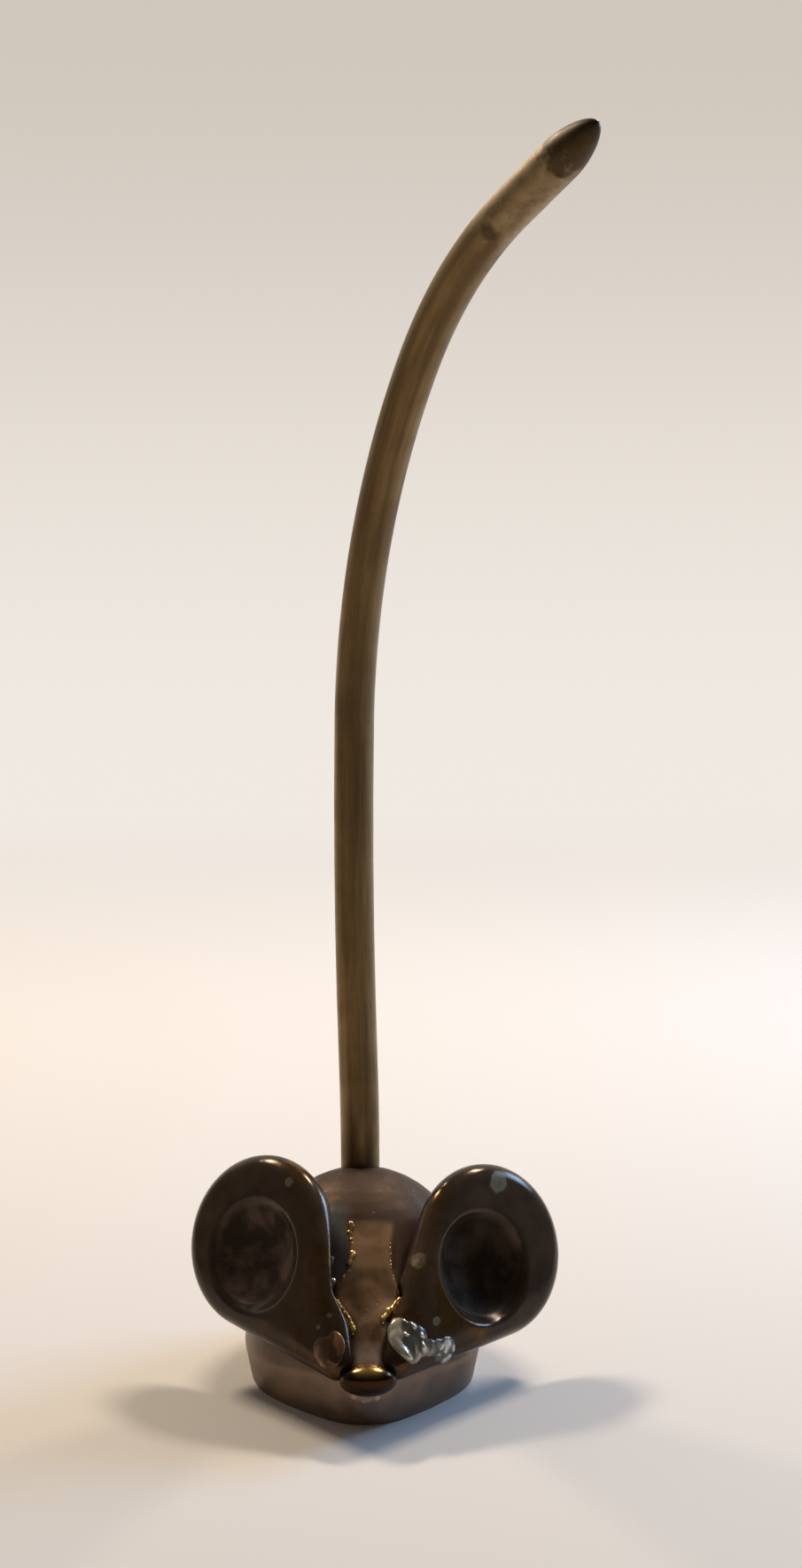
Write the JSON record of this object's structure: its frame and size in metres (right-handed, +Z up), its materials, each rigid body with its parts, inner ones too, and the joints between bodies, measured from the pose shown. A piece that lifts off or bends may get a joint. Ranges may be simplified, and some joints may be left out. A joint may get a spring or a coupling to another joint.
{
  "type": "bill spike",
  "caption": "Desk bill spike: a small metal mouse with large dished ears, whose upright curved tail is the round-tipped rod that holds slips of paper and turns in its back.",
  "frame": {"origin": "middle of the flat foot, on the table", "axes": "+Z up; the mouse faces -Y; +X is on the right of someone who faces the mouse"},
  "size_m": [0.0373, 0.0384, 0.1198],
  "materials": {
    "casting": "satin, darkened with age",
    "ear": "dark brown patina, rubbed glossy on the rims",
    "nose": "dark, polished",
    "rod": "drawn rod, olive brown with long streaks"
  },
  "bodies": {
    "mouse": {"body": "casting", "left_ear": "ear", "right_ear": "ear", "nose": "nose", "left_eye": "casting", "right_eye": "casting"},
    "spike": {"tail": "rod"}
  },
  "joints": [
    {"name": "tail_turn", "type": "hinge", "parent": "mouse", "child": "spike", "pos_m": [0, 0.0065, 0.019], "axis": [0, 0, 1], "range_deg": [-180, 180]}
  ]
}
